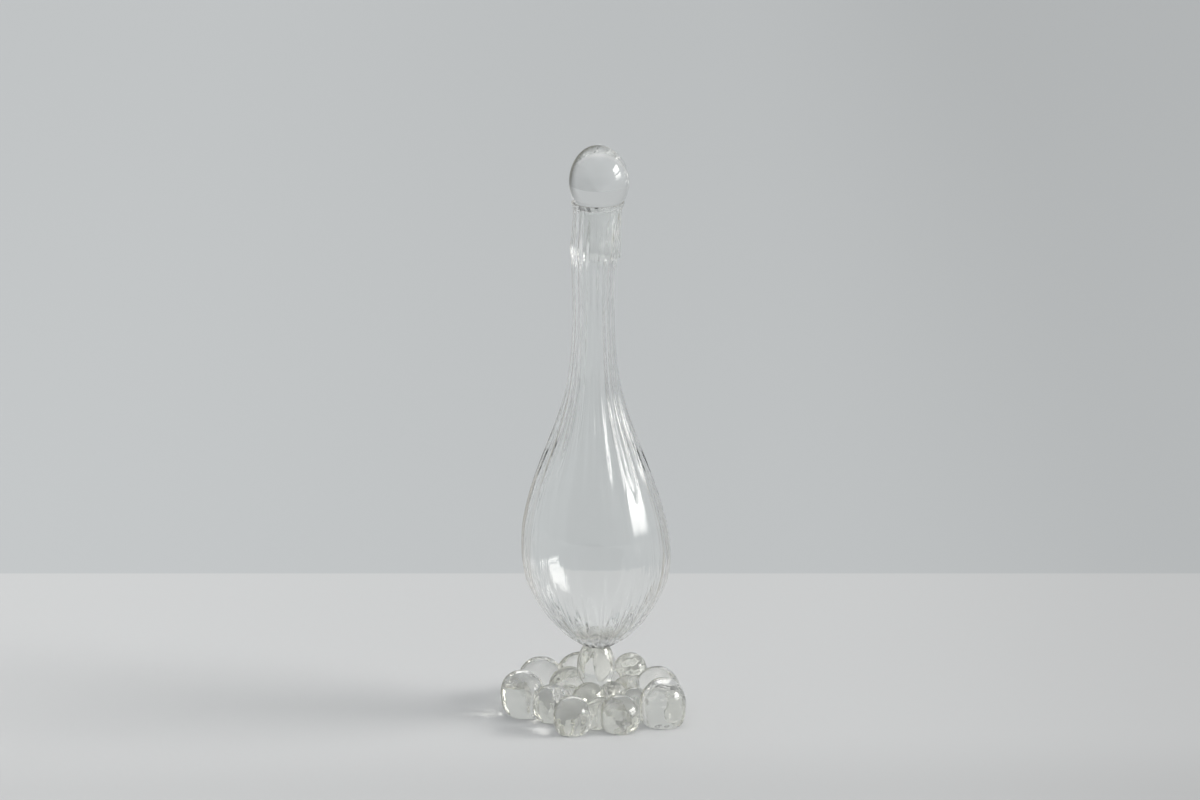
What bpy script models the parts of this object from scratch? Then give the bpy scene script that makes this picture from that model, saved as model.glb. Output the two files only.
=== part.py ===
"""Clear glass carafe: an optic-ribbed bottle on a round knop, a foot of fused glass balls, an egg stopper.

Metres, +Z up. The origin is on the table, under the axis of the bowl, and the front is towards -Y.
"""

import math

import bmesh
import bpy
from mathutils import Matrix, Vector

OBJECT_NAME = "carafe"

# Running gap between two pieces that touch.
SEAM = 0.0003

# Foot: the usual ball, and each ball as shares of it.
BALL_RADIUS = 0.015
# (name, right, back, radius, height, tallness, lean): right, back and radius are shares of BALL_RADIUS, height of
# the centre and tallness are shares of the ball's own radius, and lean is a share of a right angle. A centre
# lower than 1 is the flat that the ball took from the plate it was made on.
FOOT_BALL_SHARES = (
    ("pebble_core", 0.00, 0.20, 0.82, 0.86, 1.00, 0.00),
    ("pebble_front_left", -1.03, -2.33, 0.84, 0.88, 1.10, 0.00),
    ("pebble_front_middle", 0.02, -1.53, 0.70, 0.81, 1.00, 0.00),
    ("pebble_front_right", 1.07, -2.04, 0.89, 0.81, 1.00, 0.00),
    ("pebble_right", 2.95, -1.12, 1.03, 0.87, 1.17, 0.00),
    ("pebble_back_right", 2.71, 1.02, 1.02, 0.88, 1.00, 0.00),
    ("pebble_far_right", 1.80, 2.93, 0.77, 0.86, 1.00, 0.00),
    ("pebble_top_right", 1.52, 2.17, 0.75, 1.92, 1.00, 0.00),
    ("pebble_back", 0.67, 2.07, 0.84, 0.90, 1.00, 0.00),
    ("pebble_back_left", -0.71, 2.67, 1.10, 0.87, 1.00, 0.00),
    ("pebble_far_left", -2.45, 2.13, 1.06, 0.90, 1.00, 0.00),
    ("pebble_left", -3.22, 0.13, 1.01, 0.93, 1.11, 0.20),
    ("pebble_near_left", -1.91, -0.57, 0.88, 0.83, 1.00, 0.00),
    ("pebble_inner_left", -1.15, 1.20, 0.93, 0.99, 1.00, 0.00),
    ("pebble_inner_near_left", -1.20, 0.07, 0.67, 0.88, 1.00, 0.00),
    ("pebble_inner_front", -0.30, -0.97, 0.77, 1.38, 1.00, 0.00),
    ("pebble_inner_front_right", 0.71, -0.55, 0.64, 1.72, 1.00, 0.00),
    ("pebble_inner_right", 1.67, -0.53, 0.77, 0.90, 1.00, 0.00),
    ("pebble_inner_back_right", 1.42, 0.96, 0.74, 1.08, 1.00, 0.00),
)
BALL_SPLITS = 3
# Balls are trimmed against each neighbour nearer than this share of both radii.
NEIGHBOUR_SHARE = 1.12

# Knop: a barrel-shaped bead, flattened where the bowl is joined on.
KNOP_RADIUS = 0.0125
KNOP_HALF_HEIGHT = 0.0175
KNOP_SINK = 0.0003
KNOP_SEGMENTS = 24
KNOP_RINGS = 12

# Bottle, measured over the ribs. The joint is the disc on which bowl and knop are fused.
JOINT_RADIUS = 0.0081
BOWL_RADIUS = 0.0494
WAIST_RADIUS = 0.01365
LIP_RADIUS = 0.0174
BOWL_DEPTH = 0.0641
SHOULDER_HEIGHT = 0.1580
NECK_HEIGHT = 0.0780
WALL = 0.0020
BOWL_FLOOR = 0.0070

# Outlines of the three stretches as (height, radius) shares, each from its lower size to its upper one.
BOWL_SHARES = (
    (0.03, 0.075),
    (0.08, 0.190),
    (0.16, 0.350),
    (0.29, 0.548),
    (0.44, 0.716),
    (0.60, 0.852),
    (0.79, 0.960),
)
SHOULDER_SHARES = (
    (0.10, 0.035),
    (0.20, 0.125),
    (0.30, 0.258),
    (0.40, 0.418),
    (0.51, 0.604),
    (0.62, 0.776),
    (0.74, 0.905),
    (0.88, 0.977),
)
NECK_SHARES = (
    (0.22, 0.080),
    (0.42, 0.210),
    (0.52, 0.420),
    (0.62, 0.730),
    (0.74, 0.560),
    (0.92, 0.560),
)

# Optic ribs, and their height along the bottle as (height, rib) shares of each stretch.
RIB_COUNT = 20
STEPS_PER_RIB = 4
RIB_HEIGHT = 0.0010
RIB_SHARPNESS = 3
RIB_PHASE_DEGREES = 3.5
RIB_BOWL_SHARES = ((0.00, 0.30), (0.16, 1.50), (0.55, 0.60))
RIB_SHOULDER_SHARES = ((0.00, 0.25), (0.36, 0.70), (0.66, 1.00))
RIB_NECK_SHARES = ((0.00, 1.20), (0.62, 1.10), (1.00, 0.40))

# Sideways wander of the hand-blown axis up the bottle: (height share of a stretch, shares of WANDER).
WANDER = 0.0016
WANDER_BOWL_SHARES = ((0.00, 0.85), (0.12, 0.85), (0.50, 0.60))
WANDER_SHOULDER_SHARES = ((0.00, 0.00), (0.35, -1.00))
WANDER_NECK_SHARES = ((0.00, -0.90), (0.20, -0.85))
# Sideways run of the mouth for each unit of its height, which begins this far below the ground bore.
MOUTH_LEAN_SHARE = 0.06
LEAN_RUN_IN = 0.0080

# Ground bore in the neck and the flare of the mouth above it.
BORE_LENGTH = 0.0340
BORE_WALL = 0.0026
BORE_TAPER_SHARE = 0.04
BORE_TOP_DROP = 0.0032
MOUTH_FLARE = 0.0019
MOUTH_EDGE_DROP = 0.0010
BORE_RUN_IN = 0.0020
HOLLOW_SHARES = (0.10, 0.24, 0.44, 0.70, 1.0)
HOLLOW_SHOULDER_SHARES = (0.22, 0.45, 0.70, 1.0)
HOLLOW_FLOOR_SHARE = 0.62

# Stopper: an egg on a tapered peg.
EGG_RADIUS = 0.0195
EGG_TOP = 0.0251
PEG_CHAMFER = 0.0010
STOPPER_STEPS = 26
EGG_LOWER_STEPS = 5
EGG_UPPER_STEPS = 8

# Glass: (red, green, blue) tint of each piece, with one roughness.
GLASS_ROUGHNESS = 0.02
GLASS_ALPHA = 0.35
BOTTLE_TINT = (0.86, 0.89, 0.87)
KNOP_TINT = (0.82, 0.85, 0.79)
STOPPER_TINT = (0.84, 0.87, 0.85)
BALL_TINT = (0.82, 0.86, 0.81)
BALL_TINT_STEP = 0.004
# Edges that turn more than this stay crisp.
SHARP_DEGREES = 35


def clear_scene():
    """Remove every object that the file starts with."""
    for item in list(bpy.data.objects):
        bpy.data.objects.remove(item, do_unlink=True)


def make_collection(name):
    """A new collection under the scene's own."""
    collection = bpy.data.collections.new(name)
    bpy.context.scene.collection.children.link(collection)
    return collection


def glass(name, tint):
    """A clear glass material with the piece's own faint tint."""
    material = bpy.data.materials.new(name + "_glass")
    material.use_nodes = True
    shader = material.node_tree.nodes["Principled BSDF"]
    shader.inputs["Base Color"].default_value = (*tint, 1.0)
    shader.inputs["Roughness"].default_value = GLASS_ROUGHNESS
    shader.inputs["Metallic"].default_value = 0.0
    shader.inputs["Alpha"].default_value = GLASS_ALPHA
    return material


def add_piece(collection, name, mesh, tint):
    """Put a finished mesh in the collection as a named, smooth-shaded piece."""
    mesh.shade_smooth()
    mesh.set_sharp_from_angle(angle=math.radians(SHARP_DEGREES))
    piece = bpy.data.objects.new(name, mesh)
    piece.data.materials.append(glass(name, tint))
    collection.objects.link(piece)
    return piece


def smooth_curve(points):
    """A function that runs smoothly through (position, value) points and never overshoots them."""
    places = [place for place, _ in points]
    values = [value for _, value in points]
    widths = [b - a for a, b in zip(places, places[1:])]
    slopes = [(b - a) / width for a, b, width in zip(values, values[1:], widths)]
    tangents = [slopes[0]]
    for before, after in zip(slopes, slopes[1:]):
        tangents.append(2 * before * after / (before + after) if before * after > 0 else 0.0)
    tangents.append(slopes[-1])

    def value_at(place):
        place = min(max(place, places[0]), places[-1])
        index = max(i for i in range(len(widths)) if i == 0 or places[i] <= place)
        share = (place - places[index]) / widths[index]
        low, high = values[index], values[index + 1]
        rise = widths[index] * (tangents[index] * (1 - share) - tangents[index + 1] * share)
        return low + (high - low) * share**2 * (3 - 2 * share) + rise * share * (1 - share)

    return value_at


def place_on(low, high, shares):
    """Heights between two levels, as shares of the stretch."""
    return [low + (high - low) * share for share in shares]


def foot_balls():
    """Every ball of the foot as name: (centre, radius, tallness, lean)."""
    balls = {}
    for name, right, back, size, lift, tallness, lean in FOOT_BALL_SHARES:
        radius = size * BALL_RADIUS
        centre = Vector((right * BALL_RADIUS, back * BALL_RADIUS, lift * radius))
        balls[name] = (centre, radius, tallness, lean * math.pi / 2)
    return balls


def knop_centre():
    """The knop sits on the core ball, over the origin."""
    centre, radius, *_ = foot_balls()["pebble_core"]
    return Vector((0, 0, centre.z + radius + KNOP_RADIUS - KNOP_SINK))


def bottle_levels():
    """Heights of the bottle's joint, widest level, waist and lip."""
    flat_height = KNOP_HALF_HEIGHT * math.sqrt(1 - (JOINT_RADIUS / KNOP_RADIUS) ** 2)
    joint = knop_centre().z + flat_height + SEAM
    widest = joint + BOWL_DEPTH
    waist = widest + SHOULDER_HEIGHT
    return joint, widest, waist, waist + NECK_HEIGHT


def along_bottle(bowl_shares, shoulder_shares, neck_shares):
    """Points of (height, value) from the (share, value) lists of the three stretches."""
    joint, widest, waist, lip = bottle_levels()
    points = [(joint + (widest - joint) * share, value) for share, value in bowl_shares]
    points += [(widest + (waist - widest) * share, value) for share, value in shoulder_shares]
    points += [(waist + (lip - waist) * share, value) for share, value in neck_shares]
    return points


def outline_points():
    """The bottle's outer outline over the ribs, from the joint up to the lip."""

    def between(low, high, shares):
        return [(height, low + (high - low) * share) for height, share in shares]

    return along_bottle(
        [(0.0, JOINT_RADIUS)] + between(JOINT_RADIUS, BOWL_RADIUS, BOWL_SHARES),
        [(0.0, BOWL_RADIUS)] + between(BOWL_RADIUS, WAIST_RADIUS, SHOULDER_SHARES),
        [(0.0, WAIST_RADIUS)] + between(WAIST_RADIUS, LIP_RADIUS, NECK_SHARES) + [(1.0, LIP_RADIUS)],
    )


def rib_curve():
    """Height of the ribs at each height of the bottle."""
    points = along_bottle(RIB_BOWL_SHARES, RIB_SHOULDER_SHARES, RIB_NECK_SHARES)
    return smooth_curve([(height, RIB_HEIGHT * share) for height, share in points])


def wander_curve():
    """Sideways place of the bottle's axis at each height: it wanders up to the neck, then leans straight."""
    points = along_bottle(WANDER_BOWL_SHARES, WANDER_SHOULDER_SHARES, WANDER_NECK_SHARES)
    wander = smooth_curve([(height, WANDER * share) for height, share in points])
    lean_start = bore_sizes()[0] - LEAN_RUN_IN

    def axis_at(height):
        return wander(height) + MOUTH_LEAN_SHARE * max(height - lean_start, 0)

    return axis_at


def bore_sizes():
    """Ground bore: heights of its lower and upper end, and its radius at both."""
    *_, lip = bottle_levels()
    top = lip - BORE_TOP_DROP
    bottom = top - BORE_LENGTH
    low_radius = smooth_curve(outline_points())(bottom) - rib_curve()(bottom) - BORE_WALL
    return bottom, top, low_radius, low_radius + BORE_TAPER_SHARE * BORE_LENGTH


def mouth_edge():
    """Radius and height of the inner edge of the lip, where the egg rests."""
    *_, lip = bottle_levels()
    return bore_sizes()[3] + MOUTH_FLARE, lip - MOUTH_EDGE_DROP


def hollow_outline():
    """The inside of the bottle from the middle of its floor up to the inner edge of the lip."""
    joint, widest, waist, _ = bottle_levels()
    outer, rib = smooth_curve(outline_points()), rib_curve()
    bore_bottom, bore_top, low_radius, high_radius = bore_sizes()
    run_in = bore_bottom - BORE_RUN_IN

    def inner_radius(height):
        slope = (outer(height + WALL) - outer(height - WALL)) / (2 * WALL)
        return outer(height) - rib(height) - WALL * math.sqrt(1 + slope**2)

    floor = joint + BOWL_FLOOR
    heights = place_on(floor, widest, HOLLOW_SHARES) + place_on(widest, waist, HOLLOW_SHOULDER_SHARES)
    heights.append((waist + bore_bottom) / 2)
    points = [(0.0, floor), (inner_radius(floor) * HOLLOW_FLOOR_SHARE, floor)]
    points += [(inner_radius(height), height) for height in heights]
    points.append((min(inner_radius(run_in), low_radius), run_in))
    points += [(low_radius, bore_bottom), (high_radius, bore_top), mouth_edge()]
    return points


def bottle_profile():
    """Half section of the bottle: up the inside, over the rounded lip, down the ribbed outside."""
    points = hollow_outline()
    mouth_radius, mouth_height = points[-1]
    *_, lip = bottle_levels()
    rim = (LIP_RADIUS - mouth_radius) / 2
    middle = mouth_radius + rim
    points += [(middle - rim / 2, lip - MOUTH_EDGE_DROP / 4), (middle + rim / 4, lip)]
    outside = [(radius, height) for height, radius in reversed(outline_points())]
    outside[0] = (LIP_RADIUS, mouth_height)
    return points + outside + [(0.0, outside[-1][1])]


def turned_mesh(name, profile, steps):
    """Turn a half section about +Z with a Screw modifier and return the closed mesh."""
    section = bpy.data.meshes.new(name)
    corners = [(radius, 0.0, height) for radius, height in profile]
    section.from_pydata(corners, [(i, i + 1) for i in range(len(corners) - 1)], [])
    turner = bpy.data.objects.new(name + "_section", section)
    bpy.context.scene.collection.objects.link(turner)
    screw = turner.modifiers.new("Turn", "SCREW")
    screw.steps = screw.render_steps = steps
    screw.use_merge_vertices = True
    screw.merge_threshold = SEAM / 100
    graph = bpy.context.evaluated_depsgraph_get()
    mesh = bpy.data.meshes.new_from_object(turner.evaluated_get(graph))
    mesh.name = name
    bpy.data.objects.remove(turner, do_unlink=True)
    bpy.data.meshes.remove(section)
    return mesh


def ribbed(mesh, is_outside):
    """Raise the outside into optic ribs and set every ring square to the wandering axis."""
    rib, axis_at = rib_curve(), wander_curve()
    for vertex in mesh.vertices:
        height = vertex.co.z
        lean = (axis_at(height + WALL) - axis_at(height - WALL)) / (2 * WALL)
        radius = math.hypot(vertex.co.x, vertex.co.y)
        if radius > 0 and is_outside(radius, height):
            angle = math.atan2(vertex.co.y, vertex.co.x) - math.radians(RIB_PHASE_DEGREES)
            crest = ((1 + math.cos(RIB_COUNT * angle)) / 2) ** RIB_SHARPNESS
            scale = 1 - rib(height) * (1 - crest) / radius
            vertex.co.x *= scale
            vertex.co.y *= scale
        vertex.co.z -= lean * vertex.co.x
        vertex.co.x += axis_at(height)


def build_bottle(collection):
    """The blown bottle: bowl, shoulder, neck and lip in one wall with its ribs."""
    mesh = turned_mesh("bottle", bottle_profile(), RIB_COUNT * STEPS_PER_RIB)
    outer = smooth_curve(outline_points())

    def is_outside(radius, height):
        return radius > outer(height) - WALL / 2

    ribbed(mesh, is_outside)
    return add_piece(collection, "bottle", mesh, BOTTLE_TINT)


def stopper_profile(egg_centre):
    """Half section of the stopper, down from the top of the egg, about its centre."""
    bore_bottom, _, low_radius, high_radius = bore_sizes()
    peg_top, peg_bottom = high_radius - SEAM, low_radius - SEAM
    points = []
    for step in range(EGG_UPPER_STEPS):
        angle = math.pi / 2 * step / EGG_UPPER_STEPS
        points.append((EGG_RADIUS * math.sin(angle), EGG_TOP * math.cos(angle)))
    neck_angle = math.acos(peg_top / EGG_RADIUS)
    for step in range(EGG_LOWER_STEPS + 1):
        angle = neck_angle * step / EGG_LOWER_STEPS
        points.append((EGG_RADIUS * math.cos(angle), -EGG_RADIUS * math.sin(angle)))
    points.append((peg_bottom, bore_bottom - egg_centre + PEG_CHAMFER))
    points.append((peg_bottom - PEG_CHAMFER, bore_bottom - egg_centre))
    return points + [(0.0, bore_bottom - egg_centre)]


def build_stopper(collection):
    """The stopper, with its origin at the egg's centre on the axis of the leaning mouth."""
    radius, height = mouth_edge()
    egg_centre = height + math.sqrt((EGG_RADIUS + SEAM) ** 2 - radius**2)
    mesh = turned_mesh("stopper", stopper_profile(egg_centre), STOPPER_STEPS)
    stopper = add_piece(collection, "stopper", mesh, STOPPER_TINT)
    stopper.location = (wander_curve()(egg_centre), 0.0, egg_centre)
    stopper.rotation_euler.y = math.atan(MOUTH_LEAN_SHARE)
    return stopper


def cut_flat(bm, point, normal):
    """Cut away what lies beyond a plane and close the cut with one flat face."""
    geometry = bm.verts[:] + bm.edges[:] + bm.faces[:]
    cut = bmesh.ops.bisect_plane(
        bm, geom=geometry, plane_co=point, plane_no=normal, clear_outer=True
    )
    edges = [item for item in cut["geom_cut"] if isinstance(item, bmesh.types.BMEdge)]
    if edges:
        bmesh.ops.edgeloop_fill(bm, edges=edges)


def trim_to_neighbour(bm, centre, radius, other_centre, other_radius):
    """Flatten a ball where the one beside it is fused on, half a seam short of the shared plane."""
    run = other_centre - centre
    distance = run.length
    if distance > NEIGHBOUR_SHARE * (radius + other_radius):
        return
    reach = (distance**2 + radius**2 - other_radius**2) / (2 * distance)
    direction = run.normalized()
    cut_flat(bm, centre + direction * (reach - SEAM / 2), direction)


def build_ball(collection, name, balls, tint):
    """One ball of the foot: round, flat below, and flat where its neighbours and the knop touch it."""
    centre, radius, tallness, lean = balls[name]
    bm = bmesh.new()
    bmesh.ops.create_icosphere(bm, subdivisions=BALL_SPLITS, radius=radius)
    bmesh.ops.scale(bm, vec=(1, 1, tallness), verts=bm.verts)
    bmesh.ops.rotate(bm, cent=(0, 0, 0), matrix=Matrix.Rotation(lean, 3, "Y"), verts=bm.verts)
    bmesh.ops.translate(bm, vec=centre, verts=bm.verts)
    cut_flat(bm, Vector((0, 0, 0)), Vector((0, 0, -1)))
    for other_name, (other_centre, other_radius, *_) in balls.items():
        if other_name != name:
            trim_to_neighbour(bm, centre, radius, other_centre, other_radius)
    trim_to_neighbour(bm, centre, radius, knop_centre(), knop_contact_radius())
    mesh = bpy.data.meshes.new(name)
    bmesh.ops.translate(bm, vec=-centre, verts=bm.verts)
    bm.to_mesh(mesh)
    bm.free()
    add_piece(collection, name, mesh, tint).location = centre


def knop_contact_radius():
    """The knop counts as a ball of this radius where the foot's balls are fused to it."""
    return (KNOP_RADIUS + KNOP_HALF_HEIGHT) / 2


def build_knop(collection):
    """The round stem knop, flat on top under the bottle and flattened below where the balls hold it."""
    centre = knop_centre()
    joint, *_ = bottle_levels()
    bm = bmesh.new()
    bmesh.ops.create_uvsphere(bm, u_segments=KNOP_SEGMENTS, v_segments=KNOP_RINGS, radius=KNOP_RADIUS)
    bmesh.ops.scale(bm, vec=(1, 1, KNOP_HALF_HEIGHT / KNOP_RADIUS), verts=bm.verts)
    bmesh.ops.translate(bm, vec=centre, verts=bm.verts)
    cut_flat(bm, Vector((0, 0, joint - SEAM)), Vector((0, 0, 1)))
    for other_centre, other_radius, *_ in foot_balls().values():
        trim_to_neighbour(bm, centre, knop_contact_radius(), other_centre, other_radius)
    mesh = bpy.data.meshes.new("stem_knop")
    bmesh.ops.translate(bm, vec=-centre, verts=bm.verts)
    bm.to_mesh(mesh)
    bm.free()
    add_piece(collection, "stem_knop", mesh, KNOP_TINT).location = centre


def build_foot(collection):
    """All the balls of the foot, each with a slightly different tint."""
    balls = foot_balls()
    for index, name in enumerate(balls):
        shade = BALL_TINT_STEP * (index % 3)
        build_ball(collection, name, balls, tuple(channel - shade for channel in BALL_TINT))


def main():
    clear_scene()
    collection = make_collection(OBJECT_NAME)
    build_foot(collection)
    build_knop(collection)
    build_bottle(collection)
    build_stopper(collection)


main()
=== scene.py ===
"""Looks of the clear ribbed carafe: blown bottle, egg stopper, stem knop and a foot of fused glass balls."""

import math

import bmesh
import bpy
import numpy as np
from mathutils import Euler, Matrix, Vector


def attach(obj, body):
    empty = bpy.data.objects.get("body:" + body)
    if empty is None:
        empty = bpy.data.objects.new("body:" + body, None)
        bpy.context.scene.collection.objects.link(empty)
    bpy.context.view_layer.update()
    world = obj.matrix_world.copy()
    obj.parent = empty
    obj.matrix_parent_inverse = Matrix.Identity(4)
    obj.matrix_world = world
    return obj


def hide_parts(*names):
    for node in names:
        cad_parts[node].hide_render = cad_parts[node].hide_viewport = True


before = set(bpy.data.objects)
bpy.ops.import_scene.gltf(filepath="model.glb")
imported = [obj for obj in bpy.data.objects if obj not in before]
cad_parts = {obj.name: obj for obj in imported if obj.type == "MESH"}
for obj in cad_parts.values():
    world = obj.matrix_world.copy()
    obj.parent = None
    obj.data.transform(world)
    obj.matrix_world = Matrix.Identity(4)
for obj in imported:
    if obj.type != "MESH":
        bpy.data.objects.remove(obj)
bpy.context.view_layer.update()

MM = 0.001

# Camera: a long lens above the table edge, as the photograph was taken.
LENS_MM = 160
SENSOR_MM = 36
CAMERA_DISTANCE = 3.540
CAMERA_ELEVATION = math.radians(18.5)
CAMERA_PITCH = math.radians(15.12)
CAMERA_RIGHT = 0.00265

# Table top, and the grey paper that starts behind it. Both carry painted shade: they get darker to the right, further
# back and in front, as the room's light falls off.
TABLE_SIZE = 24.0
TABLE_DROP = 0.0003
TABLE_DEPTH = 0.322
TABLE_COLOUR = (0.683, 0.688, 0.693)
PAPER_COLOUR = (0.592, 0.608, 0.618)
TABLE_ROUGHNESS = 0.60
TABLE_GLOSS = 0.0
# Each fade as (where it starts, where it ends, share of the tone left there).
FADE_LEFT_TO_RIGHT = (-0.50, 0.12, 0.93)
FADE_FAR_RIGHT = (0.12, 0.45, 0.90)
FADE_TO_BACK = (0.0, 2.5, 0.95)
FADE_TO_FRONT = (-0.03, -0.16, 0.92)

# Window to the right, as angles in degrees from the way to the camera and above the table, with a bar across it.
# It fades towards the sill, and the sky above is brighter.
WINDOW_TURN = (70.0, 100.0)
WINDOW_RISE = (-6.0, 29.0)
RISE_SOFTNESS = 5.0
TURN_SOFTNESS = 14.0
BAR_RISE = (13.6, 16.2)
BAR_SOFTNESS = 1.0
SILL_FADE = (1.5, 12.0)
SKY_RISE = (16.5, 26.0)
SKY_SHARE = 2.5
WINDOW_COLOUR = (1.0, 0.985, 0.96)
WINDOW_STRENGTH = 10.0

# Room around the table: pale walls and a lighter ceiling. The end of the room behind the camera is dimmer, as
# (where it starts, where it ends, share left there) along the way to the camera.
WALL_COLOUR = (0.520, 0.535, 0.541)
DIM_END = (0.35, 0.85, 0.35)
CEILING_COLOUR = (2.25, 2.25, 2.24)
CEILING_RISE = (55.0, 88.0)
# The most that a bounced highlight may bring, so that the window's reflections stay soft.
BOUNCE_LIMIT = 6.0

# Glass.
GLASS_IOR = 1.50
BOTTLE_TINT = (0.988, 0.994, 0.990)
STOPPER_TINT = (0.982, 0.988, 0.980)
KNOP_TINT = (0.985, 0.985, 0.950)
BALL_TINT = (0.990, 0.990, 0.968)
# Seen edge-on the same glass is olive, because light runs further through it. The rims also carry painted shade,
# darkest on the side turned away from the window.
THIN_RIM_OLIVE_AND_SHADE = (0.45, 0.36, 0.24)
THICK_RIM_OLIVE_AND_SHADE = (0.06, 0.056, 0.035)
BALL_RIM_OLIVE_AND_SHADE = (0.20, 0.19, 0.13)
THIN_RIM = (0.55, 0.85)
THICK_RIM = (0.36, 0.64)
BALL_RIM = (0.45, 0.75)
# Fine lines drawn up the bowl by the blowing: how many fit a radius, how deep, and the radii they fade between.
LINES_PER_RADIUS = 20.0
LINE_DEPTH = 0.07 * MM
LINE_FADE = (46.0 * MM, 20.0 * MM)
LINE_LEFT = 0.02
# Painted shade on the rims: the way it is darkest, where it starts and ends along that way, and the share of it left on
# the window side.
AWAY_FROM_WINDOW = (-0.75, 0.0, 0.66)
AWAY_START = 0.10
AWAY_END = 0.80
RIM_LEAST = 0.10

# Bottle, in mm: (height, radius over the ribs, rib height, how far its axis wanders to the right).
STATIONS_MM = (
    (48.7, 8.1, 0.3, 1.36),
    (50.6, 11.2, 0.6, 1.36),
    (53.8, 16.0, 1.0, 1.36),
    (59.0, 22.6, 1.6, 1.35),
    (67.3, 30.7, 1.2, 1.25),
    (76.9, 37.7, 0.8, 1.04),
    (87.2, 43.3, 0.55, 0.80),
    (99.3, 47.8, 0.48, 0.43),
    (112.8, 49.25, 0.45, 0.0),
    (128.6, 48.2, 0.45, -0.55),
    (144.4, 44.9, 0.50, -1.14),
    (160.2, 40.2, 0.70, -1.54),
    (176.0, 34.5, 1.20, -1.60),
    (193.4, 27.8, 1.45, -1.59),
    (210.8, 21.7, 1.15, -1.56),
    (229.7, 17.1, 0.85, -1.53),
    (251.8, 14.5, 0.60, -1.48),
    (270.8, 13.65, 0.60, -1.44),
    (288.0, 13.95, 0.70, -1.36),
    (303.6, 14.5, 0.80, -1.36),
    (311.4, 15.2, 0.90, -0.89),
    (319.2, 16.4, 0.90, -0.43),
    (328.5, 15.8, 0.80, 0.14),
    (342.6, 15.8, 0.60, 0.98),
    (348.8, 17.4, 0.25, 1.35),
)
WALL = 2.0 * MM
FLOOR_THICKNESS = 7.0 * MM
RING_STEP = 2.4 * MM
RING_POINTS = 280
RIB_COUNT = 20
RIB_PHASE = math.radians(14)
# The ribs show on the inside too, a little lower, and fade out below the ground bore.
INNER_RIB_SHARE = 0.8
INNER_RIB_END = 285.0 * MM
INNER_RIB_FADE = 20.0 * MM

# Ground bore and mouth.
BORE_BOTTOM = 311.6 * MM
BORE_TOP = 345.6 * MM
BORE_LOW_RADIUS = 11.53 * MM
BORE_HIGH_RADIUS = 12.89 * MM
MOUTH_RADIUS = 14.8 * MM

# Stopper: an egg on a tapered peg, along the leaning axis of the mouth.
MOUTH_LEAN = math.atan(0.06)
EGG_RADIUS = 19.5 * MM
EGG_TOP = 25.08 * MM
PEG_GAP = 0.3 * MM
STOPPER_POINTS = 160

# Knop: a barrel between foot and bowl.
KNOP_RADIUS = 12.5 * MM
KNOP_HALF_HEIGHT = 17.5 * MM
KNOP_CENTRE = 35.1 * MM
JOINT_HEIGHT = 48.55 * MM

# Foot: the usual ball, and each ball as (right, back, radius) shares of it, (height, tallness) shares of its own
# radius, and (lean) share of a right angle.
BALL_RADIUS = 15.0 * MM
FOOT_BALLS = {
    "pebble_core": (0.00, 0.20, 0.82, 0.86, 1.00, 0.00),
    "pebble_front_left": (-1.03, -2.33, 0.84, 0.88, 1.10, 0.00),
    "pebble_front_middle": (0.02, -1.53, 0.70, 0.81, 1.00, 0.00),
    "pebble_front_right": (1.07, -2.04, 0.89, 0.81, 1.00, 0.00),
    "pebble_right": (2.95, -1.12, 1.03, 0.87, 1.17, 0.00),
    "pebble_back_right": (2.71, 1.02, 1.02, 0.88, 1.00, 0.00),
    "pebble_far_right": (1.80, 2.93, 0.77, 0.86, 1.00, 0.00),
    "pebble_top_right": (1.52, 2.17, 0.75, 1.92, 1.00, 0.00),
    "pebble_back": (0.67, 2.07, 0.84, 0.90, 1.00, 0.00),
    "pebble_back_left": (-0.71, 2.67, 1.10, 0.87, 1.00, 0.00),
    "pebble_far_left": (-2.45, 2.13, 1.06, 0.90, 1.00, 0.00),
    "pebble_left": (-3.22, 0.13, 1.01, 0.93, 1.11, 0.20),
    "pebble_near_left": (-1.91, -0.57, 0.88, 0.83, 1.00, 0.00),
    "pebble_inner_left": (-1.15, 1.20, 0.93, 0.99, 1.00, 0.00),
    "pebble_inner_near_left": (-1.20, 0.07, 0.67, 0.88, 1.00, 0.00),
    "pebble_inner_front": (-0.30, -0.97, 0.77, 1.38, 1.00, 0.00),
    "pebble_inner_front_right": (0.71, -0.55, 0.64, 1.72, 1.00, 0.00),
    "pebble_inner_right": (1.67, -0.53, 0.77, 0.90, 1.00, 0.00),
    "pebble_inner_back_right": (1.42, 0.96, 0.74, 1.08, 1.00, 0.00),
}
NEIGHBOUR_SHARE = 1.12
BALL_SPLITS = 6
SEAM_SWELL = 0.9 * MM
FLAT_ROUNDING = 0.9 * MM
BALL_SAG = 0.75
BALL_WAVES = 0.30 * MM
BALL_WAVE_SIZE = 7.0 * MM
KNOP_FLUTES = 8
KNOP_FLUTE_SHARE = 0.030


def start_fresh():
    """Leave edit mode and let go of everything."""
    if bpy.context.object is not None and bpy.context.object.mode != "OBJECT":
        bpy.ops.object.mode_set(mode="OBJECT")
    bpy.ops.object.select_all(action="DESELECT")


def finish_piece(piece, node):
    """Set the finished piece down for good: it rides with its body and stands for its solid."""
    start_fresh()
    piece.select_set(True)
    bpy.ops.object.transform_apply(location=True, rotation=True, scale=True)
    bpy.ops.object.shade_smooth_by_angle(angle=math.radians(32))
    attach(piece, "stopper" if node == "stopper" else "carafe")
    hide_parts(node)
    return piece


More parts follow.
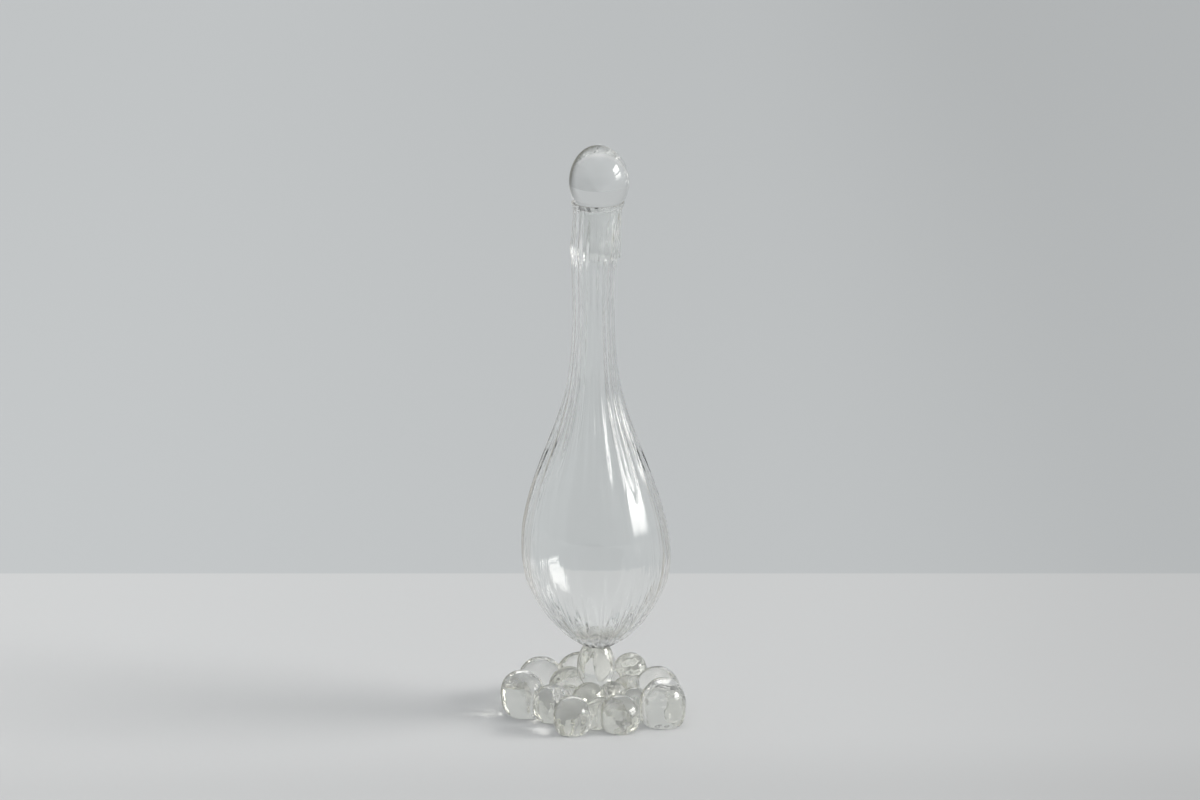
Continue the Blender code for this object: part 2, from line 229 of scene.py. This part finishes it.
def smooth_curve(places, values):
    """A curve through the stations that never swings past them."""
    places, values = np.array(places, float), np.array(values, float)
    widths, rises = np.diff(places), np.diff(values)
    slopes = rises / widths
    inner = np.where(slopes[:-1] * slopes[1:] > 0, 2 * slopes[:-1] * slopes[1:] / (slopes[:-1] + slopes[1:] + 1e-12), 0)
    tangents = np.concatenate([slopes[:1], inner, slopes[-1:]])

    def value_at(place):
        place = min(max(place, places[0]), places[-1])
        i = min(int(np.searchsorted(places, place, side="right")) - 1, len(widths) - 1)
        t = (place - places[i]) / widths[i]
        bend = widths[i] * (tangents[i] * (1 - t) - tangents[i + 1] * t)
        return float(values[i] + rises[i] * t * t * (3 - 2 * t) + bend * t * (1 - t))

    return value_at


def turned(name, profile, points):
    """A closed body turned from its half profile of (radius, height), which starts and ends on the axis."""
    start_fresh()
    bpy.ops.mesh.primitive_plane_add(size=MM, location=(0, 0, 0))
    piece = bpy.context.object
    piece.name = piece.data.name = name
    bpy.ops.object.mode_set(mode="EDIT")
    bpy.ops.mesh.select_all(action="SELECT")
    bpy.ops.mesh.merge(type="CENTER")
    bpy.ops.transform.translate(value=(profile[0][0], 0, profile[0][1]))
    for (radius, height), (next_radius, next_height) in zip(profile, profile[1:]):
        move = {"value": (next_radius - radius, 0, next_height - height)}
        bpy.ops.mesh.extrude_vertices_move(TRANSFORM_OT_translate=move)
    bpy.ops.mesh.select_all(action="SELECT")
    bpy.ops.mesh.spin(steps=points, angle=2 * math.pi, center=(0, 0, 0), axis=(0, 0, 1))
    bpy.ops.mesh.select_all(action="SELECT")
    bpy.ops.mesh.remove_doubles(threshold=0.005 * MM)
    bpy.ops.mesh.normals_make_consistent(inside=False)
    bpy.ops.object.mode_set(mode="OBJECT")
    return piece


def node_of(tree, kind, inputs, **settings):
    """A node of this kind with its sockets filled: a value is set, and another node's socket is linked."""
    node = tree.nodes.new("ShaderNode" + kind)
    for key, value in settings.items():
        setattr(node, key, value)
    for key, value in inputs.items():
        if isinstance(value, bpy.types.NodeSocket):
            tree.links.new(value, node.inputs[key])
        else:
            node.inputs[key].default_value = value
    return node


def product(tree, *values):
    """These values multiplied together."""
    result = values[0]
    for value in values[1:]:
        result = node_of(tree, "Math", {0: result, 1: value}, operation="MULTIPLY").outputs["Value"]
    return result


def fade(tree, value, start, end, left):
    """1 up to one place, changing softly to another share of the tone at the next."""
    sinking = {"Value": value, "From Min": start, "From Max": end, "To Min": 1.0, "To Max": left}
    return node_of(tree, "MapRange", sinking, interpolation_type="SMOOTHSTEP").outputs["Result"]


def draw_lines(tree, place, bump):
    """Fine straight lines that run up a blown body, over the bump that is there already."""
    flat = node_of(tree, "VectorMath", {0: place, 1: (1, 1, 0)}, operation="MULTIPLY").outputs["Vector"]
    around = node_of(tree, "VectorMath", {0: flat}, operation="NORMALIZE").outputs["Vector"]
    lines = node_of(tree, "TexNoise", {"Vector": around, "Scale": LINES_PER_RADIUS, "Detail": 1.0}).outputs["Fac"]
    radius = node_of(tree, "VectorMath", {0: flat}, operation="LENGTH").outputs["Value"]
    depth = product(tree, fade(tree, radius, *LINE_FADE, LINE_LEFT), LINE_DEPTH)
    return node_of(tree, "Bump", {"Height": lines, "Strength": 1.0, "Distance": depth, "Normal": bump.outputs["Normal"]})


def glass(name, tint, rim_olive_and_shade, rim, wave, wave_size, with_lines=False):
    """Clear glass with the slow waves of hot working and a darker rim, olive from the longer run through it and painted
    shade away from the window.
    """
    material = bpy.data.materials.new(name)
    material.use_nodes = True
    tree = material.node_tree
    shader = tree.nodes["Principled BSDF"]
    coordinates = node_of(tree, "TexCoord", {}).outputs
    facing = node_of(tree, "LayerWeight", {"Blend": 0.5}).outputs["Facing"]
    edge = node_of(tree, "MapRange", {"Value": facing, "From Min": rim[0], "From Max": rim[1]}).outputs["Result"]
    # Painted shade: the rim tint is strongest where the surface faces away from the window.
    turned_away = {0: coordinates["Normal"], 1: AWAY_FROM_WINDOW}
    turned_away = node_of(tree, "VectorMath", turned_away, operation="DOT_PRODUCT").outputs["Value"]
    side = {"Value": turned_away, "From Min": AWAY_START, "From Max": AWAY_END, "To Min": RIM_LEAST, "To Max": 1.0}
    side = node_of(tree, "MapRange", side).outputs["Result"]
    colour = node_of(tree, "Mix", {"Factor": product(tree, edge, side)}, data_type="RGBA")
    colour.inputs["A"].default_value = (*tint, 1)
    colour.inputs["B"].default_value = (*rim_olive_and_shade, 1)
    tree.links.new(colour.outputs["Result"], shader.inputs["Base Color"])
    shader.inputs["Roughness"].default_value = 0.0
    shader.inputs["IOR"].default_value = GLASS_IOR
    shader.inputs["Transmission Weight"].default_value = 1.0
    waves = node_of(tree, "TexNoise", {"Vector": coordinates["Object"], "Scale": 1 / wave_size, "Detail": 2.0})
    bump = node_of(tree, "Bump", {"Height": waves.outputs["Fac"], "Strength": 1.0, "Distance": wave})
    if with_lines:
        bump = draw_lines(tree, coordinates["Object"], bump)
    tree.links.new(bump.outputs["Normal"], shader.inputs["Normal"])
    return material


def fused_glass():
    """Where two balls are melted into each other: nothing but glass on both sides, so light goes straight on."""
    material = bpy.data.materials.new("fused_seam")
    material.use_nodes = True
    nodes, links = material.node_tree.nodes, material.node_tree.links
    nodes.remove(nodes["Principled BSDF"])
    through = nodes.new("ShaderNodeBsdfTransparent")
    links.new(through.outputs["BSDF"], nodes["Material Output"].inputs["Surface"])
    return material


HEIGHTS = [row[0] * MM for row in STATIONS_MM]
outer_radius = smooth_curve(HEIGHTS, [row[1] * MM for row in STATIONS_MM])
rib_height = smooth_curve(HEIGHTS, [row[2] * MM for row in STATIONS_MM])
axis_right = smooth_curve(HEIGHTS, [row[3] * MM for row in STATIONS_MM])
JOINT, LIP = HEIGHTS[0], HEIGHTS[-1]


def melt(piece, depth, size):
    """Give the turned or round shape the slight unevenness of hot-worked glass."""
    clouds = bpy.data.textures.new(piece.name, "CLOUDS")
    clouds.noise_scale = size
    clouds.noise_depth = 1
    waves = piece.modifiers.new("waves", "DISPLACE")
    waves.texture = clouds
    waves.strength = 2 * depth
    waves.mid_level = 0.5
    bpy.ops.object.modifier_apply(modifier=waves.name)


def inner_radius(height):
    """Radius of the hollow under the ribs, below the ground bore."""
    slope = (outer_radius(height + WALL) - outer_radius(height - WALL)) / (2 * WALL)
    return outer_radius(height) - rib_height(height) - WALL * math.sqrt(1 + slope * slope)


def heights_between(low, high, step):
    count = max(1, round((high - low) / step))
    return [low + (high - low) * i / count for i in range(count + 1)]


def outside_profile():
    """From the joint up to just under the lip."""
    near_joint, near_bore = JOINT + 5 * RING_STEP, BORE_BOTTOM - 3 * RING_STEP
    heights = heights_between(JOINT, near_joint, RING_STEP / 2)[:-1]
    heights += heights_between(near_joint, near_bore, RING_STEP)[:-1]
    heights += heights_between(near_bore, LIP - 0.6 * MM, RING_STEP / 2)
    low = outer_radius(JOINT) - rib_height(JOINT)
    return [(share * low, JOINT) for share in (0.0, 0.5, 0.9)] + [(outer_radius(h) - rib_height(h), h) for h in heights]


def lip_profile():
    """Over the fire-polished lip and into the mouth."""
    rim = (outer_radius(LIP) - MOUTH_RADIUS) / 2
    middle = MOUTH_RADIUS + rim
    return [
        (middle + 0.75 * rim, LIP - 0.15 * MM),
        (middle, LIP),
        (middle - 0.8 * rim, LIP - 0.25 * MM),
        (MOUTH_RADIUS - 0.2 * MM, LIP - 1.0 * MM),
    ]


def inside_profile():
    """Down the ground bore and the inside of the neck to the floor of the bowl."""
    floor = JOINT + FLOOR_THICKNESS
    profile = []
    for h in heights_between(BORE_BOTTOM, BORE_TOP, 2.5 * RING_STEP)[::-1]:
        share = (h - BORE_BOTTOM) / (BORE_TOP - BORE_BOTTOM)
        profile.append((BORE_LOW_RADIUS + (BORE_HIGH_RADIUS - BORE_LOW_RADIUS) * share, h))
    below_bore = BORE_BOTTOM - 3 * MM
    for h in heights_between(floor + RING_STEP / 2, below_bore, 1.2 * RING_STEP)[::-1]:
        profile.append((min(inner_radius(h), BORE_LOW_RADIUS), h) if h > below_bore - RING_STEP else (inner_radius(h), h))
    reach = profile[-1][0]
    profile += [(reach * 0.86, floor + 1.0 * MM), (reach * 0.62, floor + 0.3 * MM)]
    return profile + [(reach * share, floor) for share in (0.40, 0.20, 0.0)]


def lean_and_wander(piece):
    """Let the axis wander sideways, as hand-blown glass does."""
    for vertex in piece.data.vertices:
        vertex.co.x += axis_right(vertex.co.z)


def raise_ribs(bottle):
    """Push the optic ribs out of both faces of the wall, by weights that fade with the rib's height."""
    outside, inside = bottle.vertex_groups.new(name="outside"), bottle.vertex_groups.new(name="inside")
    tallest = max(row[2] for row in STATIONS_MM) * MM
    for vertex in bottle.data.vertices:
        x, y, h = vertex.co
        crest = (1 + math.cos(RIB_COUNT * (math.atan2(y, x) - RIB_PHASE))) / 2
        weight = crest * rib_height(h) / tallest
        if math.hypot(x, y) > outer_radius(h) - rib_height(h) - WALL / 2:
            if h < LIP - 0.5 * MM:
                outside.add([vertex.index], weight, "REPLACE")
        elif h > JOINT + FLOOR_THICKNESS + 1.5 * MM:
            left = min(max((INNER_RIB_END - h) / INNER_RIB_FADE, 0.0), 1.0)
            inside.add([vertex.index], weight * left, "REPLACE")
    for group, height in ((outside, tallest), (inside, -INNER_RIB_SHARE * tallest)):
        raising = bottle.modifiers.new(group.name, "DISPLACE")
        raising.vertex_group = group.name
        raising.strength = height
        raising.mid_level = 0.0
        raising.direction = "NORMAL"
        bpy.ops.object.modifier_apply(modifier=raising.name)


def make_bottle():
    bottle = turned("blown_bottle", outside_profile() + lip_profile() + inside_profile(), RING_POINTS)
    raise_ribs(bottle)
    lean_and_wander(bottle)
    bottle.data.materials.append(glass("blown_clear", BOTTLE_TINT, THIN_RIM_OLIVE_AND_SHADE, THIN_RIM, 0.006 * MM, 30 * MM, with_lines=True))
    return finish_piece(bottle, "bottle")


def make_stopper():
    """Peg and egg, turned in one and tipped onto the leaning mouth."""
    egg = EGG_RADIUS
    middle = LIP - 1.0 * MM + math.sqrt((egg + PEG_GAP) ** 2 - MOUTH_RADIUS**2)
    foot = BORE_BOTTOM - middle
    low, high = BORE_LOW_RADIUS - PEG_GAP, BORE_HIGH_RADIUS - PEG_GAP
    start = math.acos(high / egg)
    neck = -egg * math.sin(start)
    profile = [(share * low, foot) for share in (0.0, 0.45, 0.85)] + [(low - 0.3 * MM, foot + 0.3 * MM)]
    for h in heights_between(foot + 1.0 * MM, neck - 1.2 * MM, RING_STEP):
        profile.append((low + (high - low) * (h - foot) / (neck - foot), h))
    below = [start * (step / 20 - 1) for step in range(1, 21)]
    profile += [(egg * math.cos(angle), egg * math.sin(angle)) for angle in below]
    above = [math.pi / 2 * step / 48 for step in range(1, 49)]
    profile += [(egg * math.cos(angle), EGG_TOP * math.sin(angle)) for angle in above[:-1]] + [(0.0, EGG_TOP)]
    stopper = turned("egg_stopper", profile, STOPPER_POINTS)
    bpy.ops.object.mode_set(mode="EDIT")
    bpy.ops.mesh.select_all(action="SELECT")
    bpy.ops.transform.rotate(value=MOUTH_LEAN, orient_axis="Y", center_override=(0, 0, 0))
    right = axis_right(LIP) + math.tan(MOUTH_LEAN) * (middle - LIP)
    bpy.ops.transform.translate(value=(right, 0, middle))
    stopper.data.materials.append(glass("stopper_clear", STOPPER_TINT, THICK_RIM_OLIVE_AND_SHADE, THICK_RIM, 0.015 * MM, 14 * MM))
    return finish_piece(stopper, "stopper")


def ball_sizes():
    """Every ball as name: (centre, radius, tallness, lean)."""
    balls = {}
    for name, (right, back, size, lift, tallness, lean) in FOOT_BALLS.items():
        radius = size * BALL_RADIUS
        centre = Vector((right * BALL_RADIUS, back * BALL_RADIUS, lift * radius))
        balls[name] = (centre, radius, tallness, lean * math.pi / 2)
    return balls


def cut_flat(piece, point, way, slot):
    """Slice the piece at a plane, keep the near side, and close the cut with glass or with a seam."""
    bpy.ops.mesh.select_all(action="SELECT")
    bpy.ops.mesh.bisect(plane_co=point, plane_no=way, use_fill=True, clear_outer=True)
    bpy.context.tool_settings.mesh_select_mode = (False, False, True)
    bpy.ops.mesh.select_all(action="DESELECT")
    mesh = bmesh.from_edit_mesh(piece.data)
    mesh.normal_update()
    found = False
    for face in mesh.faces:
        if abs((face.calc_center_median() - point).dot(way)) < 1e-6 and abs(face.normal.dot(way)) > 0.9999:
            face.material_index = slot
            face.select = found = True
    bmesh.update_edit_mesh(piece.data)
    return found


def keep_above_table(ball):
    """Lift the points that rounding the flat's edge has pushed below the table top."""
    mesh = bmesh.from_edit_mesh(ball.data)
    for vertex in mesh.verts:
        vertex.co.z = max(vertex.co.z, 0.0)
    bmesh.update_edit_mesh(ball.data)


def seam_between(centre, radius, other_centre, other_radius):
    """The plane where two balls melt into each other: (way to it, how far), or None where they are apart."""
    run = other_centre - centre
    distance = run.length
    if distance > NEIGHBOUR_SHARE * (radius + other_radius):
        return None
    return run.normalized(), (distance**2 + radius**2 - other_radius**2) / (2 * distance)


def fuse_to(piece, centre, radius, other_centre, other_radius):
    """Melt a ball into the one beside it, on the plane that both share."""
    seam = seam_between(centre, radius, other_centre, other_radius)
    if seam:
        cut_flat(piece, centre + seam[0] * seam[1], seam[0], 1)


def swell_seam(ball, centre, radius, other_centre, other_radius):
    """Let the glass flow a little into the groove beside a seam, so that the two balls run into each other softly."""
    seam = seam_between(centre, radius, other_centre, other_radius)
    if not seam or not 0.3 * radius < seam[1] < 0.98 * radius:
        return
    way, reach = seam
    ring = math.sqrt(radius**2 - reach**2)
    width = 2 * SEAM_SWELL * ring / reach
    for vertex in ball.data.vertices:
        along = (vertex.co - centre).dot(way)
        share = 1 - abs(along - reach) / width
        if share > 0:
            outward = (vertex.co - centre - way * along).normalized()
            vertex.co += outward * SEAM_SWELL * share * share


def knop_as_ball():
    return Vector((0, 0, KNOP_CENTRE)), (KNOP_RADIUS + KNOP_HALF_HEIGHT) / 2


def sag(ball, centre, half_height):
    """Let a soft ball settle on the table, so that its lower half stays wide down to the flat."""
    for vertex in ball.data.vertices:
        x, y, z = vertex.co - centre
        depth = min(-z / half_height, 0.97)
        if depth > 0:
            wider = 1 + BALL_SAG * (((1 + depth**2) / (1 - depth**2)) ** 0.25 - 1)
            vertex.co.x, vertex.co.y = centre.x + x * wider, centre.y + y * wider


def make_ball(name, balls, clear, seam):
    """One ball: round, with the soft-edged flat it stands on, and melted into its neighbours."""
    centre, radius, tallness, lean = balls[name]
    start_fresh()
    bpy.ops.mesh.primitive_ico_sphere_add(subdivisions=BALL_SPLITS, radius=radius - BALL_WAVES, location=(0, 0, 0))
    ball = bpy.context.object
    ball.name = ball.data.name = name.replace("pebble", "glass_ball")
    ball.data.materials.append(clear)
    ball.data.materials.append(seam)
    bpy.ops.object.mode_set(mode="EDIT")
    bpy.ops.mesh.select_all(action="SELECT")
    bpy.ops.transform.resize(value=(1, 1, tallness), center_override=(0, 0, 0))
    bpy.ops.transform.rotate(value=lean, orient_axis="Y", center_override=(0, 0, 0))
    bpy.ops.transform.translate(value=centre)
    bpy.ops.object.mode_set(mode="OBJECT")
    if centre.z < radius:
        sag(ball, centre, radius * tallness)
    melt(ball, BALL_WAVES, BALL_WAVE_SIZE)
    for other, (other_centre, other_radius, *_) in balls.items():
        if other != name:
            swell_seam(ball, centre, radius, other_centre, other_radius)
    bpy.ops.object.mode_set(mode="EDIT")
    if cut_flat(ball, Vector((0, 0, 0)), Vector((0, 0, -1)), 0):
        bpy.ops.mesh.bevel(offset=FLAT_ROUNDING, segments=4, affect="EDGES", clamp_overlap=True)
    for other, (other_centre, other_radius, *_) in balls.items():
        if other != name:
            fuse_to(ball, centre, radius, other_centre, other_radius)
    fuse_to(ball, centre, radius, *knop_as_ball())
    keep_above_table(ball)
    return finish_piece(ball, name)


def flute(knop):
    """Sink shallow flutes into the knop's sides, where the ribs of the bowl were drawn together."""
    for vertex in knop.data.vertices:
        x, y, z = vertex.co
        middle = max(0.0, 1 - (z / KNOP_HALF_HEIGHT) ** 2)
        dip = KNOP_FLUTE_SHARE * middle * (1 - math.cos(KNOP_FLUTES * math.atan2(y, x))) / 2
        vertex.co.x, vertex.co.y = x * (1 - dip), y * (1 - dip)


def make_knop(balls, clear, seam):
    """The round stem knop, melted to the bowl above and to the balls below."""
    centre, contact = knop_as_ball()
    start_fresh()
    bpy.ops.mesh.primitive_uv_sphere_add(segments=64, ring_count=48, radius=KNOP_RADIUS, location=(0, 0, 0))
    knop = bpy.context.object
    knop.name = knop.data.name = "round_knop"
    knop.data.materials.append(clear)
    knop.data.materials.append(seam)
    bpy.ops.object.mode_set(mode="EDIT")
    bpy.ops.mesh.select_all(action="SELECT")
    bpy.ops.transform.resize(value=(1, 1, KNOP_HALF_HEIGHT / KNOP_RADIUS), center_override=(0, 0, 0))
    bpy.ops.object.mode_set(mode="OBJECT")
    flute(knop)
    melt(knop, BALL_WAVES / 2, BALL_WAVE_SIZE)
    bpy.ops.object.mode_set(mode="EDIT")
    bpy.ops.mesh.select_all(action="SELECT")
    bpy.ops.transform.translate(value=centre)
    cut_flat(knop, Vector((0, 0, JOINT_HEIGHT)), Vector((0, 0, 1)), 1)
    for other_centre, other_radius, *_ in balls.values():
        fuse_to(knop, centre, contact, other_centre, other_radius)
    return finish_piece(knop, "stem_knop")


def make_foot():
    balls = ball_sizes()
    seam = fused_glass()
    clear = glass("ball_clear", BALL_TINT, BALL_RIM_OLIVE_AND_SHADE, BALL_RIM, 0.05 * MM, 4 * MM)
    for name in balls:
        make_ball(name, balls, clear, seam)
    make_knop(balls, glass("knop_clear", KNOP_TINT, BALL_RIM_OLIVE_AND_SHADE, BALL_RIM, 0.03 * MM, 9 * MM), seam)


def make_table():
    start_fresh()
    bpy.ops.mesh.primitive_plane_add(size=TABLE_SIZE, location=(0, 0, -TABLE_DROP))
    table = bpy.context.object
    table.name = "table_top"
    material = bpy.data.materials.new("table_and_paper")
    material.use_nodes = True
    tree = material.node_tree
    shader = tree.nodes["Principled BSDF"]
    shader.inputs["Roughness"].default_value = TABLE_ROUGHNESS
    shader.inputs["Specular IOR Level"].default_value = TABLE_GLOSS
    place = node_of(tree, "TexCoord", {}).outputs["Object"]
    split = node_of(tree, "SeparateXYZ", {"Vector": place})
    edge = {"Value": split.outputs["Y"], "From Min": TABLE_DEPTH - 1.0 * MM, "From Max": TABLE_DEPTH + 1.0 * MM}
    step = node_of(tree, "MapRange", edge)
    tone = node_of(tree, "Mix", {"Factor": step.outputs["Result"]}, data_type="RGBA")
    tone.inputs["A"].default_value = (*TABLE_COLOUR, 1)
    tone.inputs["B"].default_value = (*PAPER_COLOUR, 1)
    # Painted shade: the tone darkens to the right, further back and in front.
    painted_falloffs = [fade(tree, split.outputs["X"], *FADE_LEFT_TO_RIGHT), fade(tree, split.outputs["X"], *FADE_FAR_RIGHT)]
    painted_falloffs += [fade(tree, split.outputs["Y"], *FADE_TO_BACK), fade(tree, split.outputs["Y"], *FADE_TO_FRONT)]
    shade = node_of(tree, "VectorMath", {0: tone.outputs["Result"], "Scale": product(tree, *painted_falloffs)}, operation="SCALE")
    tree.links.new(shade.outputs["Vector"], shader.inputs["Base Color"])
    table.data.materials.append(material)


def band(tree, value, low, high, softness):
    """1 between two angles in degrees, falling softly to 0 outside them."""
    half = softness / 2
    rise = {"Value": value, "From Min": math.radians(low - half), "From Max": math.radians(low + half)}
    fall = {"Value": value, "From Min": math.radians(high + half), "From Max": math.radians(high - half)}
    up = node_of(tree, "MapRange", rise, interpolation_type="SMOOTHSTEP")
    down = node_of(tree, "MapRange", fall, interpolation_type="SMOOTHSTEP")
    return product(tree, up.outputs["Result"], down.outputs["Result"])


def make_room():
    """The room's walls and ceiling, with the window in them."""
    world = bpy.data.worlds.new("room")
    bpy.context.scene.world = world
    world.use_nodes = True
    tree = world.node_tree
    way = node_of(tree, "SeparateXYZ", {"Vector": node_of(tree, "TexCoord", {}).outputs["Generated"]})
    front = node_of(tree, "Math", {0: way.outputs["Y"], 1: -1.0}, operation="MULTIPLY")
    turn = node_of(tree, "Math", {0: way.outputs["X"], 1: front.outputs["Value"]}, operation="ARCTAN2").outputs["Value"]
    rise = node_of(tree, "Math", {0: way.outputs["Z"]}, operation="ARCSINE").outputs["Value"]
    low, high = CEILING_RISE
    climb = {"Value": rise, "From Min": math.radians(low), "From Max": math.radians(high)}
    height = node_of(tree, "MapRange", climb, interpolation_type="SMOOTHSTEP")
    dim = fade(tree, front.outputs["Value"], *DIM_END)
    walls = node_of(tree, "VectorMath", {0: WALL_COLOUR, "Scale": dim}, operation="SCALE").outputs["Vector"]
    room = node_of(tree, "Mix", {"Factor": height.outputs["Result"], "A": walls}, data_type="RGBA", name="room_tone")
    room.inputs["B"].default_value = (*CEILING_COLOUR, 1)
    opening = product(tree, band(tree, rise, *WINDOW_RISE, RISE_SOFTNESS), band(tree, turn, *WINDOW_TURN, TURN_SOFTNESS))
    clear = node_of(tree, "Math", {0: 1.0, 1: band(tree, rise, *BAR_RISE, BAR_SOFTNESS)}, operation="SUBTRACT")
    sill = fade(tree, rise, math.radians(SILL_FADE[1]), math.radians(SILL_FADE[0]), 0.0)
    sky = fade(tree, rise, math.radians(SKY_RISE[0]), math.radians(SKY_RISE[1]), SKY_SHARE)
    window = product(tree, opening, clear.outputs["Value"], sill, sky)
    view = {"Factor": window, "A": room.outputs["Result"]}
    view = node_of(tree, "Mix", view, data_type="RGBA", clamp_factor=False)
    view.inputs["B"].default_value = tuple(WINDOW_STRENGTH * c for c in WINDOW_COLOUR) + (1,)
    back = tree.nodes["Background"]
    tree.links.new(view.outputs["Result"], back.inputs["Color"])


def make_camera():
    data = bpy.data.cameras.new("camera")
    data.lens, data.sensor_width = LENS_MM, SENSOR_MM
    data.clip_end = 100
    camera = bpy.data.objects.new("camera", data)
    bpy.context.scene.collection.objects.link(camera)
    back, up = math.cos(CAMERA_ELEVATION), math.sin(CAMERA_ELEVATION)
    camera.location = (CAMERA_RIGHT, -CAMERA_DISTANCE * back, CAMERA_DISTANCE * up)
    camera.rotation_euler = Euler((math.pi / 2 - CAMERA_PITCH, 0, 0))
    bpy.context.scene.camera = camera


def set_light_paths():
    """Enough bends for light that crosses the whole foot."""
    cycles = bpy.context.scene.cycles
    cycles.max_bounces = cycles.transmission_bounces = cycles.glossy_bounces = 32
    cycles.transparent_max_bounces = 64
    cycles.blur_glossy = 0.0
    cycles.sample_clamp_indirect = BOUNCE_LIMIT
    bpy.context.scene.view_settings.view_transform = "Standard"


make_bottle()
make_stopper()
make_foot()
make_table()
make_room()
make_camera()
set_light_paths()
